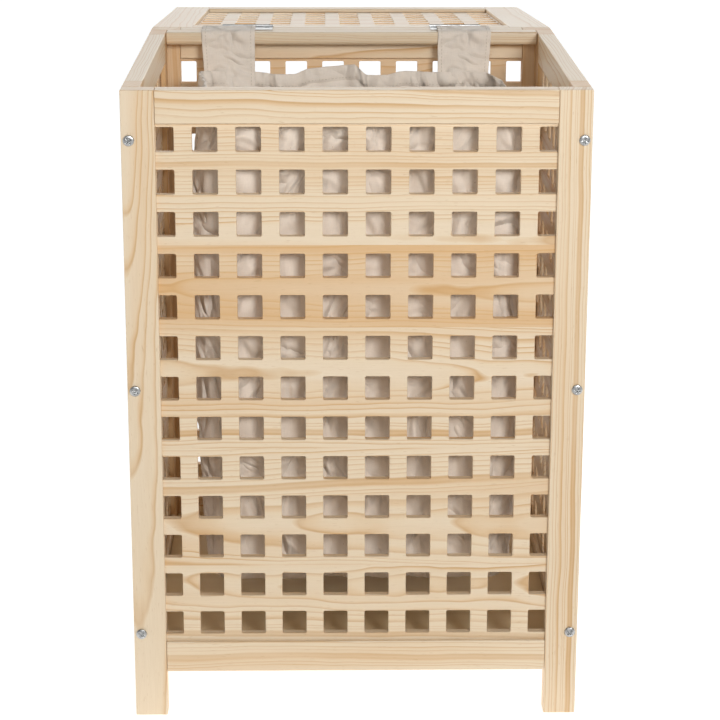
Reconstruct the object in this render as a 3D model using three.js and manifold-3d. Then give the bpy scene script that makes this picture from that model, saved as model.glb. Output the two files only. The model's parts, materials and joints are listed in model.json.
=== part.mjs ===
// Laundry hamper with a hinged lid: four framed lattice panels, a framed lattice lid on two
// butt hinges, a bottom board on battens, and a canvas bag hung inside. Millimetres, +Z up,
// the front faces -Y. The lid is modelled open, resting against the back of the box.
import * as THREE from 'three';
import { mergeGeometries, mergeVertices } from 'three/addons/utils/BufferGeometryUtils.js';
import Module from 'manifold-3d';

const wasm = await Module();
wasm.setup();

// ---- Driving dimensions -------------------------------------------------------------------
const boxWidth = 500;
const boxDepth = 450;
const boxHeight = 720;
const fitGap = 0.3; // between pieces that touch

// Framed panels: posts and rails round a lattice board held in a groove.
const frameThickness = 20;
const postWidth = 36;
const railHeight = 36;
const legHeight = 54; // posts run on below the bottom rail
const grooveDepth = 12;

// Lattice board: square holes cut on a square pitch.
const latticePitch = 46.2;
const latticeHole = 27;
const latticeThickness = 9;
const latticeRecess = 5; // outer face of the frame to the face of the board
const latticeEdge = 3; // least wood outside the outermost holes
const latticeRaise = 1.8; // rows sit this much above the middle of an upright panel

// Panhead screws through the front and back posts into the side frames.
const screwInset = 8.5; // from the outer side of the box
const screwAboveLeg = 46.5; // lowest screw
const screwBelowTop = 54; // highest screw
const screwMiddleRaise = 1; // middle screw, above the middle of the panel
const screwHeadRadius = 6;
const screwHeadHeight = 2.6;
const screwRadius = 2.2;
const screwBite = 17.4; // how far a screw runs into the side frame
const screwTaper = 3; // length of its point
const screwClearance = 0.5; // round the shank
const screwTipGap = 1.6; // past the point

// Bottom board on two battens.
const battenSize = 15;
const battenEndGap = 10;
const floorThickness = 8;
const floorClearance = 0.5;

// Hinge bar along the inside of the back frame's top rail.
const barDepth = 22;
const barHeight = 16;
const barRound = 5;
const barClearance = 0.5; // each end, to the side frames

// Lid.
const lidStileWidth = 50;
const lidFrontRail = 50;
const lidBackRail = 36;
const lidOverhang = 2; // past the front frame when closed
const lidOverTravel = 4.6; // degrees past flat when it rests open

// Butt hinges, pin axis in the middle of the gap under the closed lid.
const hingeInset = 120; // middle of a hinge from the side of the box
const hingeLength = 63;
const knuckleCount = 5;
const knuckleGap = 0.3;
const leafWidth = 26;
const leafThickness = 0.9;
const pinRadius = 0.7;
const pinClearance = 0.35;
const pinEnd = 0.5;

// Canvas bag and the two straps that carry it over the hinge bar.
const canvas = 2;
const bagGapLeft = 38; // to the side frame
const bagGapRight = 30;
const bagGapFront = 2;
const bagLift = 63; // base above the bottom board
const bagFrontDrop = 6; // top edge below the top of the box, at the front
const bagBackDrop = 48; // and at the back
const strapWidth = 66;
const strapThickness = 1;
const strapInsetLeft = 4; // from the inside of the bag's sides
const strapInsetRight = 25.5;
const strapBackGap = 1; // to the hinge barrel
const strapSewn = 112; // length of strap below the bag's back edge

// ---- Derived places -----------------------------------------------------------------------
const screwLength = frameThickness + screwBite + 2 * fitGap;
const screwHeights = [
  legHeight + screwAboveLeg,
  (legHeight + boxHeight) / 2 + screwMiddleRaise,
  boxHeight - screwBelowTop,
];
// Under the closed lid a strap lies between the two leaves of a hinge.
const knuckleRadius = leafThickness + fitGap + strapThickness / 2;
const lidGap = 2 * (knuckleRadius + fitGap); // box top to closed lid
const lidLength = boxDepth + lidOverhang;
const over = THREE.MathUtils.degToRad(lidOverTravel);
// The lid's lower back edge comes to rest fitGap from the back of the box.
const hingeBehind =
  (fitGap + (lidGap / 2 + frameThickness) * Math.sin(over)) / (1 + Math.cos(over));
const hingeY = boxDepth + hingeBehind;
const hingeZ = boxHeight + lidGap / 2;
const innerHalf = boxWidth / 2 - frameThickness;
const barInner = boxDepth - frameThickness - fitGap - barDepth;
const floorTop = legHeight + battenSize + fitGap + floorThickness;

// ---- Materials ----------------------------------------------------------------------------
const look = (name, color, roughness, metalness = 0) =>
  new THREE.MeshStandardMaterial({ name, color, roughness, metalness });
const pine = () => look('pine', 0xe8d2ab, 0.55);
const plywood = () => look('plywood', 0xd9bd8c, 0.6);
const steel = () => look('zinc_steel', 0xc6c8c8, 0.32, 1);
const cloth = () => look('canvas', 0xd8cdbf, 0.95);

// ---- Solids -------------------------------------------------------------------------------
function solid(geometry) {
  const g = geometry.clone();
  g.deleteAttribute('normal');
  g.deleteAttribute('uv');
  const m = mergeVertices(g, 1e-4);
  return new wasm.Manifold(new wasm.Mesh({
    numProp: 3,
    vertProperties: new Float32Array(m.attributes.position.array),
    triVerts: new Uint32Array(m.index.array),
  }));
}

function geometryOf(body) {
  const { vertProperties, triVerts } = body.getMesh();
  const g = new THREE.BufferGeometry();
  g.setAttribute('position', new THREE.BufferAttribute(new Float32Array(vertProperties), 3));
  g.setIndex(new THREE.BufferAttribute(new Uint32Array(triVerts), 1));
  g.computeVertexNormals();
  return g;
}

// A box between two corners.
function block(x0, x1, y0, y1, z0, z1) {
  return new THREE.BoxGeometry(x1 - x0, y1 - y0, z1 - z0)
    .translate((x0 + x1) / 2, (y0 + y1) / 2, (z0 + z1) / 2);
}

// A rod along X or Y from a to b, round the point given by its other two coordinates.
function rod(axis, radius, a, b, u, v, sides = 12) {
  const g = new THREE.CylinderGeometry(radius, radius, b - a, sides);
  if (axis === 'x') return g.rotateZ(Math.PI / 2).translate((a + b) / 2, u, v);
  return g.translate(u, (a + b) / 2, v);
}

// A profile of [y, z] points carried along X from x0 to x1.
function alongX(points, x0, x1) {
  const shape = new THREE.Shape(points.map(([y, z]) => new THREE.Vector2(y, z)));
  return new THREE.ExtrudeGeometry(shape, { depth: x1 - x0, bevelEnabled: false })
    .rotateY(Math.PI / 2).rotateX(Math.PI / 2).translate(x0, 0, 0);
}

function add(group, name, geometry, material) {
  const mesh = new THREE.Mesh(geometry, material);
  mesh.name = name;
  group.add(mesh);
  return mesh;
}

// How many holes fit along an opening, counting those that run a little way under the frame.
function holeCount(opening) {
  const hidden = grooveDepth - fitGap - latticeEdge;
  return Math.floor((opening + 2 * hidden - latticeHole) / latticePitch) + 1;
}

// A board of square holes, w by h, centred on x = 0 and z = 0, its front face at y = 0.
function latticeBoard(openingW, openingH, raise) {
  const w = openingW / 2 + grooveDepth - fitGap;
  const h = openingH / 2 + grooveDepth - fitGap;
  const columns = holeCount(openingW);
  const rows = holeCount(openingH);
  const holes = [];
  for (let c = 0; c < columns; c++) {
    for (let r = 0; r < rows; r++) {
      const x = (c - (columns - 1) / 2) * latticePitch;
      const z = (r - (rows - 1) / 2) * latticePitch + raise;
      const s = latticeHole / 2;
      holes.push(block(x - s, x + s, -1, latticeThickness + 1, z - s, z + s));
    }
  }
  return geometryOf(solid(block(-w, w, 0, latticeThickness, -h, h))
    .subtract(solid(mergeGeometries(holes))));
}

// A framed lattice panel standing on z = 0, centred on x = 0, with its outer face at y = 0.
// screwsAt are the x places of screws into the faces of its posts, and endScrews is true where
// screws come into the edges of its posts instead.
function framedPanel(prefix, names, size, { screwsAt = [], endScrews = false, raise = 0 } = {}) {
  const group = new THREE.Group();
  const { width, height, post, railTop, railBottom, leg } = size;
  const inner = width / 2 - post;
  const low = leg + railBottom;
  const high = height - railTop;
  const y0 = latticeRecess - fitGap;
  const y1 = latticeRecess + latticeThickness + fitGap;

  for (const side of [-1, 1]) {
    const outer = (side * width) / 2;
    const edge = side * inner;
    let body = solid(block(Math.min(outer, edge), Math.max(outer, edge),
      0, frameThickness, 0, height));
    const cut = [edge - fitGap * side, edge + grooveDepth * side].sort((a, b) => a - b);
    body = body.subtract(solid(block(cut[0], cut[1], y0, y1,
      low - grooveDepth, high + grooveDepth)));
    for (const z of screwHeights) {
      const r = screwRadius + screwClearance;
      if (screwsAt.length) {
        body = body.subtract(solid(rod('y', r, -1, frameThickness + 1,
          side * screwsAt[0], z)));
      }
      if (endScrews) {
        const tip = width / 2 - screwBite - screwTipGap;
        const [a, b] = [side * tip, side * (width / 2 + 1)].sort((p, q) => p - q);
        body = body.subtract(solid(rod('x', r, a, b, screwInset, z)));
      }
    }
    add(group, `${prefix}_${names[side < 0 ? 0 : 1]}`, geometryOf(body), pine());
  }

  const railHalf = inner - fitGap;
  for (const [name, z0, z1, open] of [
    [names[2], high, height, high], [names[3], leg, low, low],
  ]) {
    const inward = open === high ? 1 : -1; // from the opening into the rail
    const [a, b] = [open - fitGap * inward, open + grooveDepth * inward].sort((p, q) => p - q);
    const body = solid(block(-railHalf, railHalf, 0, frameThickness, z0, z1))
      .subtract(solid(block(-railHalf - 1, railHalf + 1, y0, y1, a, b)));
    add(group, `${prefix}_${name}`, geometryOf(body), pine());
  }

  const board = latticeBoard(2 * inner, high - low, raise);
  add(group, `${prefix}_lattice`, board, pine())
    .position.set(0, latticeRecess, (high + low) / 2);
  return group;
}

// ---- Box ----------------------------------------------------------------------------------
const hamper = new THREE.Group();
const rails = ['rail_top', 'rail_bottom'];
const wideSize = {
  width: boxWidth, height: boxHeight, post: postWidth,
  railTop: railHeight, railBottom: railHeight, leg: legHeight,
};
const screwX = boxWidth / 2 - screwInset;
const wideOptions = { screwsAt: [screwX], raise: latticeRaise };

const front = framedPanel('front', ['post_left', 'post_right', ...rails], wideSize, wideOptions);
hamper.add(front);

const back = framedPanel('back', ['post_right', 'post_left', ...rails], wideSize, wideOptions);
back.rotation.z = Math.PI;
back.position.y = boxDepth;
hamper.add(back);

const sideSize = { ...wideSize, width: boxDepth - 2 * (frameThickness + fitGap) };
const sideOptions = { endScrews: true, raise: latticeRaise };
for (const [name, sign, stiles] of [
  ['left', -1, ['stile_back', 'stile_front']], ['right', 1, ['stile_front', 'stile_back']],
]) {
  const side = framedPanel(name, [...stiles, ...rails], sideSize, sideOptions);
  side.rotation.z = (sign * Math.PI) / 2;
  side.position.set((sign * boxWidth) / 2, boxDepth / 2, 0);
  hamper.add(side);
}

// Screws: a domed head on the post's face and a shank into the side frame, one closed profile.
function screw() {
  const r = screwHeadRadius;
  const h = screwHeadHeight;
  const profile = [
    [0, h], [r * 0.62, h * 0.88], [r, h * 0.3], [r, 0],
    [screwRadius, 0], [screwRadius, screwTaper - screwLength], [0, -screwLength],
  ].reverse().map(([x, y]) => new THREE.Vector2(x, y));
  return new THREE.LatheGeometry(profile, 12);
}
for (const [face, y, sign] of [['front', 0, -1], ['back', boxDepth, 1]]) {
  for (const [side, x] of [['left', -screwX], ['right', screwX]]) {
    screwHeights.forEach((z, i) => {
      const s = add(hamper, `screw_${face}_${side}_${i + 1}`, screw(), steel());
      s.rotation.x = sign < 0 ? Math.PI : 0;
      s.position.set(x, y + sign * fitGap, z);
    });
  }
}

// Bottom board and its battens.
const battenEnd = frameThickness + battenEndGap;
for (const [name, sign] of [['left', -1], ['right', 1]]) {
  const x = [sign * (innerHalf - fitGap), sign * (innerHalf - fitGap - battenSize)]
    .sort((a, b) => a - b);
  add(hamper, `floor_batten_${name}`, block(x[0], x[1], battenEnd, boxDepth - battenEnd,
    legHeight, legHeight + battenSize), pine());
}
const floorHalf = innerHalf - floorClearance;
add(hamper, 'floor_board', block(-floorHalf, floorHalf, frameThickness + floorClearance,
  boxDepth - frameThickness - floorClearance, floorTop - floorThickness, floorTop), plywood());

// Hinge bar, its lower inner edge rounded.
const barOuter = barInner + barDepth;
const barLow = boxHeight - barHeight;
const barProfile = [[barInner, boxHeight], [barInner, barLow + barRound]];
for (let i = 1; i <= 5; i++) {
  const a = (i / 5) * (Math.PI / 2);
  barProfile.push([barInner + barRound * (1 - Math.cos(a)), barLow + barRound * (1 - Math.sin(a))]);
}
barProfile.push([barOuter, barLow], [barOuter, boxHeight]);
const barHalf = innerHalf - barClearance;
add(hamper, 'hinge_bar', alongX(barProfile, -barHalf, barHalf), pine());

// ---- Lid ----------------------------------------------------------------------------------
// The pivot group's origin is on the hinge axis; at rest it is turned back past flat.
const pivot = new THREE.Group();
pivot.position.set(0, hingeY, hingeZ);
pivot.rotation.x = -(Math.PI + over);
hamper.add(pivot);

const lid = framedPanel('lid', ['stile_left', 'stile_right', 'rail_front', 'rail_back'], {
  width: boxWidth, height: lidLength, post: lidStileWidth,
  railTop: lidFrontRail, railBottom: lidBackRail, leg: 0,
});
lid.rotation.x = Math.PI / 2;
lid.position.set(0, -hingeBehind, lidGap / 2);
pivot.add(lid);

// One leaf of a hinge about the X axis: up is -1 for the leaf on the box and 1 on the lid.
function leaf(x, up, first) {
  const pitch = (hingeLength + knuckleGap) / knuckleCount;
  const start = x - hingeLength / 2;
  const lowZ = up < 0 ? -knuckleRadius : knuckleRadius - leafThickness;
  let body = solid(block(start, start + hingeLength, -leafWidth, 0, lowZ, lowZ + leafThickness));
  for (let i = 0; i < knuckleCount; i++) {
    const a = start + i * pitch;
    const b = a + pitch - knuckleGap;
    if (i % 2 === first) {
      body = body.add(solid(rod('x', knuckleRadius, a, b, 0, 0, 16)));
    } else {
      const clear = knuckleRadius + 2 * knuckleGap;
      body = body.subtract(solid(block(a - knuckleGap - (i ? 0 : 1),
        b + knuckleGap + (i < knuckleCount - 1 ? 0 : 1), -clear, 1, lowZ - 1, lowZ + 2)));
    }
  }
  const bore = rod('x', pinRadius + pinClearance, start - 1, start + hingeLength + 1, 0, 0);
  return geometryOf(body.subtract(solid(bore)));
}

for (const [name, sign] of [['left', -1], ['right', 1]]) {
  const x = sign * (boxWidth / 2 - hingeInset);
  add(hamper, `hinge_${name}_box_leaf`, leaf(x, -1, 0), steel()).position.set(0, hingeY, hingeZ);
  add(pivot, `hinge_${name}_lid_leaf`, leaf(x, 1, 1), steel());
  const half = hingeLength / 2 + pinEnd;
  add(hamper, `hinge_${name}_pin`, rod('x', pinRadius, x - half, x + half, 0, 0), steel())
    .position.set(0, hingeY, hingeZ);
}

// ---- Bag ----------------------------------------------------------------------------------
const bagLeft = -innerHalf + bagGapLeft;
const bagRight = innerHalf - bagGapRight;
const bagFront = frameThickness + bagGapFront;
const bagBack = barInner; // the back panel's inner face lines up with the bar's
const bagLow = floorTop + bagLift;
const frontTop = boxHeight - bagFrontDrop;
const backTop = boxHeight - bagBackDrop;
const panelLow = bagLow + canvas + fitGap;

add(hamper, 'bag_base', block(bagLeft, bagRight, bagFront, bagBack + canvas,
  bagLow, bagLow + canvas), cloth());
add(hamper, 'bag_front', block(bagLeft, bagRight, bagFront, bagFront + canvas,
  panelLow, frontTop), cloth());
add(hamper, 'bag_back', block(bagLeft, bagRight, bagBack, bagBack + canvas,
  panelLow, backTop), cloth());
const sideFront = bagFront + canvas + fitGap;
const sideBack = bagBack - fitGap;
const sideProfile = [
  [sideFront, panelLow], [sideBack, panelLow], [sideBack, backTop], [sideFront, frontTop],
];
add(hamper, 'bag_left', alongX(sideProfile, bagLeft, bagLeft + canvas), cloth());
add(hamper, 'bag_right', alongX(sideProfile, bagRight - canvas, bagRight), cloth());

// Straps: flat over the hinge leaf and the bar, then down the inside of the bag's back panel.
const strapOver = boxHeight + fitGap + leafThickness + fitGap;
const strapFace = barInner - fitGap;
const strapEnd = hingeY - knuckleRadius - strapBackGap;
const strapProfile = [
  [strapEnd, strapOver], [strapEnd, strapOver + strapThickness],
  [strapFace - strapThickness, strapOver + strapThickness],
  [strapFace - strapThickness, backTop - strapSewn], [strapFace, backTop - strapSewn],
  [strapFace, strapOver],
];
const leftStrap = bagLeft + canvas + strapInsetLeft;
const rightStrap = bagRight - canvas - strapInsetRight - strapWidth;
add(hamper, 'strap_left', alongX(strapProfile, leftStrap, leftStrap + strapWidth), cloth());
add(hamper, 'strap_right', alongX(strapProfile, rightStrap, rightStrap + strapWidth), cloth());

// ---- Frame: origin under the middle of the bounding box ------------------------------------
const root = new THREE.Group();
root.add(hamper);
root.updateMatrixWorld(true);
const bounds = new THREE.Box3().setFromObject(hamper, true);
hamper.position.set(-(bounds.min.x + bounds.max.x) / 2, -(bounds.min.y + bounds.max.y) / 2,
  -bounds.min.z);
export default root;
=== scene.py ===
import itertools
import json
import math

import bmesh
import bpy
import numpy as np
from mathutils import Matrix, Vector


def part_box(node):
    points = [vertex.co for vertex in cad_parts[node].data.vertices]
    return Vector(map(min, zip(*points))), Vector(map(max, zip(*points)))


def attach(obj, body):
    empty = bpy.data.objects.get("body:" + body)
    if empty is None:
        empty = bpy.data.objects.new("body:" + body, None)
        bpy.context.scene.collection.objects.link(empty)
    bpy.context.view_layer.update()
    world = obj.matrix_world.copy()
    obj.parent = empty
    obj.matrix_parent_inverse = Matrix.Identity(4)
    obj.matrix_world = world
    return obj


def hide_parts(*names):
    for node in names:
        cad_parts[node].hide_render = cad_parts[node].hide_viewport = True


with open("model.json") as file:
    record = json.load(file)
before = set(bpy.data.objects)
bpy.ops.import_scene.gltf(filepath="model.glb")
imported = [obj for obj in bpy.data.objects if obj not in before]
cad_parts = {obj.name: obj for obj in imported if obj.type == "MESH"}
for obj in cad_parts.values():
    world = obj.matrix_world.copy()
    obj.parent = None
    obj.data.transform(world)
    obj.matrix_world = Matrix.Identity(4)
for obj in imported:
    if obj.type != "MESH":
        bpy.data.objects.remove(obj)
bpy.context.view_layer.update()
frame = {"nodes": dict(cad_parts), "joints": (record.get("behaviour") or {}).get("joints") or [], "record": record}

MM = 0.001

# ---- Camera --------------------------------------------------------------------------------
# A long lens at standing height in front of the open hamper, so that the front is seen nearly
# square on, and the eye looks down over the top rail into the bag.
aim = Vector((3.5 * MM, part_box("front_post_left")[0].y, 504 * MM))
standoff = 2.291
look_down = math.radians(15.34)
look_left = math.radians(1.04)
tilt = math.radians(0.15)

sight = Vector((math.sin(look_left) * math.cos(look_down),
                math.cos(look_left) * math.cos(look_down), -math.sin(look_down)))
level = sight.cross(Vector((0, 0, 1))).normalized()
upright = level.cross(sight)
image_right = level * math.cos(tilt) + upright * math.sin(tilt)
image_up = upright * math.cos(tilt) - level * math.sin(tilt)

camera = bpy.data.objects.new("camera", bpy.data.cameras.new("camera"))
camera.data.lens = 106.2
camera.data.shift_y = -0.1
camera.data.clip_end = 100
turn = Matrix((image_right, image_up, -sight)).transposed().to_4x4()
camera.matrix_world = Matrix.Translation(aim - sight * standoff) @ turn
bpy.context.scene.collection.objects.link(camera)
bpy.context.scene.camera = camera
bpy.context.scene.view_settings.view_transform = "Standard"


# ---- Studio --------------------------------------------------------------------------------
# A white sheet on the ground that glows with painted light, as if lit from below. The glow is less towards the
# camera and least in a soft patch before the hamper, which is a painted shadow. A white surround is bright behind
# the hamper and dim overhead. The main soft light stands right of the camera, high enough to reach over the front
# rail to the back of the open box. A broad weaker one beside the camera opens the shadows inside.
def linear(hex_colour, alpha=1.0):
    """An sRGB hex colour such as 'F2DDB8' as linear red, green, blue and alpha."""
    c = np.array([int(hex_colour[i:i + 2], 16) / 255 for i in (0, 2, 4)])
    c = np.where(c <= 0.04045, c / 12.92, ((c + 0.055) / 1.055) ** 2.4)
    return (*c.tolist(), alpha)


def feed(tree, node, inputs):
    """Links or sets each of a node's inputs."""
    for key, value in inputs.items():
        if isinstance(value, bpy.types.NodeSocket):
            tree.links.new(value, node.inputs[key])
        else:
            node.inputs[key].default_value = value


def add(tree, kind, inputs=None, **settings):
    """Adds a shader node with its settings. An input that is a socket is linked."""
    node = tree.nodes.new("ShaderNode" + kind)
    for key, value in settings.items():
        setattr(node, key, value)
    feed(tree, node, inputs or {})
    return node


def new_material(name):
    """An empty material: its node tree and its shader, joined to the output."""
    material = bpy.data.materials.new(name)
    material.use_nodes = True
    tree = material.node_tree
    tree.nodes.clear()
    shader = add(tree, "BsdfPrincipled")
    add(tree, "OutputMaterial", {"Surface": shader.outputs[0]})
    return material, tree, shader


paper_painted_glow, tree, shader = new_material("matt_white_paper_painted_glow")
place = add(tree, "TexCoord").outputs["Object"]
grey = add(tree, "TexNoise", {"Vector": place, "Scale": 3.0, "Detail": 2.0}).outputs[0]
shade = add(tree, "MixRGB", {0: grey, 1: linear("CFCECC"), 2: linear("D3D2D0")}).outputs[0]
# The darker patch in the floor's glow before the hamper is a painted shadow.
painted_shadow_middle = (0, aim.y - 0.38, 0)
painted_shadow_reach = (0.7, 0.36, 1)
painted_shadow_patch = add(tree, "VectorMath", {0: place, 1: painted_shadow_middle}, operation="SUBTRACT").outputs[0]
painted_shadow_patch = add(tree, "VectorMath", {0: painted_shadow_patch, 1: painted_shadow_reach}, operation="DIVIDE").outputs[0]
painted_shadow_patch = add(tree, "VectorMath", {0: painted_shadow_patch}, operation="LENGTH").outputs["Value"]
painted_shadow_patch = add(tree, "MapRange", {"Value": painted_shadow_patch, "From Min": 0.4, "From Max": 1.0, "To Min": 0.25},
            interpolation_type="SMOOTHSTEP").outputs[0]
forward = add(tree, "SeparateXYZ", {0: place}).outputs[1]
# The glow fades towards the camera: painted shade on the floor in front of the hamper.
painted_glow = add(tree, "MapRange", {"Value": forward, "From Min": aim.y - 1.4, "From Max": aim.y - 0.1,
                             "To Min": 0.22, "To Max": 0.78},
          interpolation_type="SMOOTHSTEP").outputs[0]
painted_glow = add(tree, "Math", {0: painted_glow, 1: painted_shadow_patch}, operation="MULTIPLY").outputs[0]
feed(tree, shader, {"Base Color": shade, "Roughness": 0.9, "Emission Color": linear("FFFFFF"),
                    "Emission Strength": painted_glow})

reach = 30.0
sheet = bpy.data.meshes.new("studio_floor")
sheet.from_pydata([(-reach, -reach, 0), (reach, -reach, 0), (reach, reach, 0),
                   (-reach, reach, 0)], [], [(0, 1, 2, 3)])
studio_floor = bpy.data.objects.new("studio_floor", sheet)
studio_floor.data.materials.append(paper_painted_glow)
bpy.context.scene.collection.objects.link(studio_floor)

world = bpy.data.worlds.new("white_surround")
world.use_nodes = True
tree = world.node_tree
sky = add(tree, "SeparateXYZ", {0: add(tree, "TexCoord").outputs["Generated"]})
overhead = add(tree, "MapRange", {"Value": sky.outputs[2], "From Min": 0.1, "From Max": 0.7,
                                  "To Min": 1.0, "To Max": 0.27}).outputs[0]
behind = add(tree, "MapRange", {"Value": sky.outputs[1], "From Min": -0.4, "From Max": 0.7,
                                "To Min": 0.12, "To Max": 2.0}).outputs[0]
glow = add(tree, "Math", {0: overhead, 1: behind}, operation="MULTIPLY").outputs[0]
tree.links.new(glow, tree.nodes["Background"].inputs["Strength"])
tree.nodes["Background"].inputs["Color"].default_value = linear("FFFFFF")
bpy.context.scene.world = world

lights_aim = Vector((0, -0.2, 0.8))
light_spread = math.radians(110)
for name, spot, size, watts in [
    ("main_light", (1.0, -3.3, 1.8), 0.8, 20),
    ("fill_light", (-0.3, -2.9, 1.9), 1.4, 4.5),
]:
    lamp = bpy.data.lights.new(name, "AREA")
    lamp.size = size
    lamp.energy = watts
    lamp.spread = light_spread
    light = bpy.data.objects.new(name, lamp)
    light.location = spot
    light.rotation_euler = (lights_aim - Vector(spot)).to_track_quat("-Z", "Y").to_euler()
    bpy.context.scene.collection.objects.link(light)


# ---- Frames of the box and the lid -----------------------------------------------------------
# Each panel is framed by four planed pine boards, 20 mm thick, their sharp edges taken off with
# sandpaper. A groove along the inner edge of each board holds the lattice.
def pine_material():
    """Solid pine, planed and sanded, left pale under a thin matt varnish. The attribute grain
    is a place in the tree, in metres: x and y across it from its heart, z up it. Rings are
    4 mm wide, each pale where it grew in spring and ochre where it closed in late summer."""
    material, tree, shader = new_material("pine_planed_matt_varnish")
    ring_width = 4.0 * MM
    grain = add(tree, "Attribute", attribute_name="grain").outputs["Vector"]
    tone_and_painted_shade = add(tree, "Attribute", attribute_name="tone_and_painted_shade").outputs["Fac"]

    # Smooth noises, with scales in waves per metre across, through and along the board. Each
    # is then carried from one range to another: the rings wander by a few millimetres, their
    # contrast and the amber streaks come and go, and short resin ducts are a rare peak.
    # Fibres 0.7 mm wide are drawn coarser than life so that they show.
    ranges = {}
    for name, scale, detail, from_low, from_high, low, high in [
        ("wander", (14, 14, 2.6), 1.0, 0.0, 1.0, -4.5 * MM, 4.5 * MM),
        ("ripple", (22, 22, 10), 2.0, 0.0, 1.0, -2.6 * MM, 2.6 * MM),
        ("strength", (40, 40, 3), 2.0, 0.3, 0.7, 0.35, 1.0),
        ("streak", (24, 24, 1.3), 2.0, 0.35, 0.7, -0.5, 0.5),
        ("duct", (1300, 1300, 110), 0.0, 0.74, 0.82, 0.0, 0.28),
        ("fibre", (700, 700, 22), 3.0, None, None, None, None),
    ]:
        place = add(tree, "VectorMath", {0: grain, 1: scale}, operation="MULTIPLY").outputs[0]
        noise = add(tree, "TexNoise", {"Vector": place, "Scale": 1.0, "Detail": detail,
                                       "Roughness": 0.65 if name == "fibre" else 0.5})
        ranges[name] = noise.outputs[0]
        if low is not None:
            ranges[name] = add(tree, "MapRange", {"Value": ranges[name], "From Min": from_low,
                                                  "From Max": from_high, "To Min": low,
                                                  "To Max": high}).outputs[0]
    fibre = ranges["fibre"]

    # Distance from the heart, in ring widths. Some years were wider than others.
    flat = add(tree, "VectorMath", {0: grain, 1: (1, 1, 0)}, operation="MULTIPLY").outputs[0]
    radius = add(tree, "VectorMath", {0: flat}, operation="LENGTH").outputs["Value"]
    for part in ("wander", "ripple"):
        radius = add(tree, "Math", {0: radius, 1: ranges[part]}, operation="ADD").outputs[0]
    years = add(tree, "Math", {0: radius, 1: ring_width}, operation="DIVIDE").outputs[0]
    uneven = add(tree, "TexNoise", {"W": years, "Scale": 0.35, "Detail": 1.0},
                 noise_dimensions="1D").outputs[0]
    uneven = add(tree, "MapRange", {"Value": uneven, "To Min": -1.5, "To Max": 1.5}).outputs[0]
    years = add(tree, "Math", {0: years, 1: uneven}, operation="ADD").outputs[0]
    season = add(tree, "Math", {0: years}, operation="FRACT").outputs[0]

    ramp = add(tree, "ValToRGB", {0: season})
    stops = [(0.0, "EEDBC0"), (0.6, "ECD6B7"), (0.8, "E3C297"), (0.91, "CFA36C"),
             (1.0, "EBD5B5")]
    while len(ramp.color_ramp.elements) < len(stops):
        ramp.color_ramp.elements.new(0.5)
    for element, (position, colour) in zip(ramp.color_ramp.elements, stops):
        element.position = position
        element.color = linear(colour)
    rings = add(tree, "MixRGB", {0: ranges["strength"], 1: linear("EEDABC"),
                                 2: ramp.outputs[0]}).outputs[0]

    # Broad amber streaks, stronger in boards set to more amber. Most boards differ at random, but the strong
    # amber of the side stiles and back posts is painted warm shade for their insides.
    amber = add(tree, "Math", {0: ranges["streak"], 1: tone_and_painted_shade}, operation="ADD").outputs[0]
    amber = add(tree, "Math", {0: amber, 1: 0.5}, operation="MULTIPLY").outputs[0]
    amber = add(tree, "Clamp", {0: amber}).outputs[0]
    colour = add(tree, "MixRGB", {0: amber, 1: rings, 2: linear("DBA968")}).outputs[0]

    # Fibres lighten and darken the wood, blue most and red least.
    tints = [add(tree, "MapRange", {"Value": fibre, "To Min": low, "To Max": high}).outputs[0]
             for low, high in ((0.94, 1.05), (0.92, 1.06), (0.88, 1.08))]
    tint = add(tree, "CombineColor", dict(enumerate(tints))).outputs[0]
    colour = add(tree, "MixRGB", {0: 1.0, 1: colour, 2: tint}, blend_type="MULTIPLY").outputs[0]
    colour = add(tree, "MixRGB", {0: ranges["duct"], 1: colour, 2: linear("BE935C")}).outputs[0]

    rough = add(tree, "MapRange", {"Value": fibre, "To Min": 0.36, "To Max": 0.5}).outputs[0]
    height = add(tree, "Math", {0: season, 1: 0.5, 2: fibre}, operation="MULTIPLY_ADD").outputs[0]
    bump = add(tree, "Bump", {"Height": height, "Distance": 0.12 * MM, "Strength": 0.35})
    feed(tree, shader, {"Base Color": colour, "Roughness": rough, "IOR": 1.52, "Coat Weight": 0.15,
                        "Coat Roughness": 0.28, "Normal": bump.outputs[0]})
    return material


pine = pine_material()


def new_piece(name, points, faces, material, body, replaced=()):
    """A smooth-shaded piece from points and faces, with doubled points merged and all faces
    turned outwards. It rides on body and takes the place of the replaced CAD nodes."""
    mesh = bpy.data.meshes.new(name)
    mesh.from_pydata(np.asarray(points).reshape(-1, 3), [], faces)
    piece = bpy.data.objects.new(name, mesh)
    bpy.context.scene.collection.objects.link(piece)
    merge_and_turn_out(mesh)
    mesh.materials.append(material)
    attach(piece, body)
    if replaced:
        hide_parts(*replaced)
    return piece


def merge_and_turn_out(mesh):
    """Merges doubled points, turns all faces outwards and shades them smooth."""
    work = bmesh.new()
    work.from_mesh(mesh)
    bmesh.ops.remove_doubles(work, verts=work.verts, dist=2e-6)
    bmesh.ops.recalc_face_normals(work, faces=work.faces)
    work.to_mesh(mesh)
    work.free()
    mesh.polygons.foreach_set("use_smooth", [True] * len(mesh.polygons))


def shown(name, points, faces, material, body, replaced=(), smooth_below=50):
    """A hard piece: edges under smooth_below degrees are shaded round, the others sharp."""
    piece = new_piece(name, points, faces, material, body, replaced)
    piece.data.set_sharp_from_angle(angle=math.radians(smooth_below))
    return piece


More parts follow.
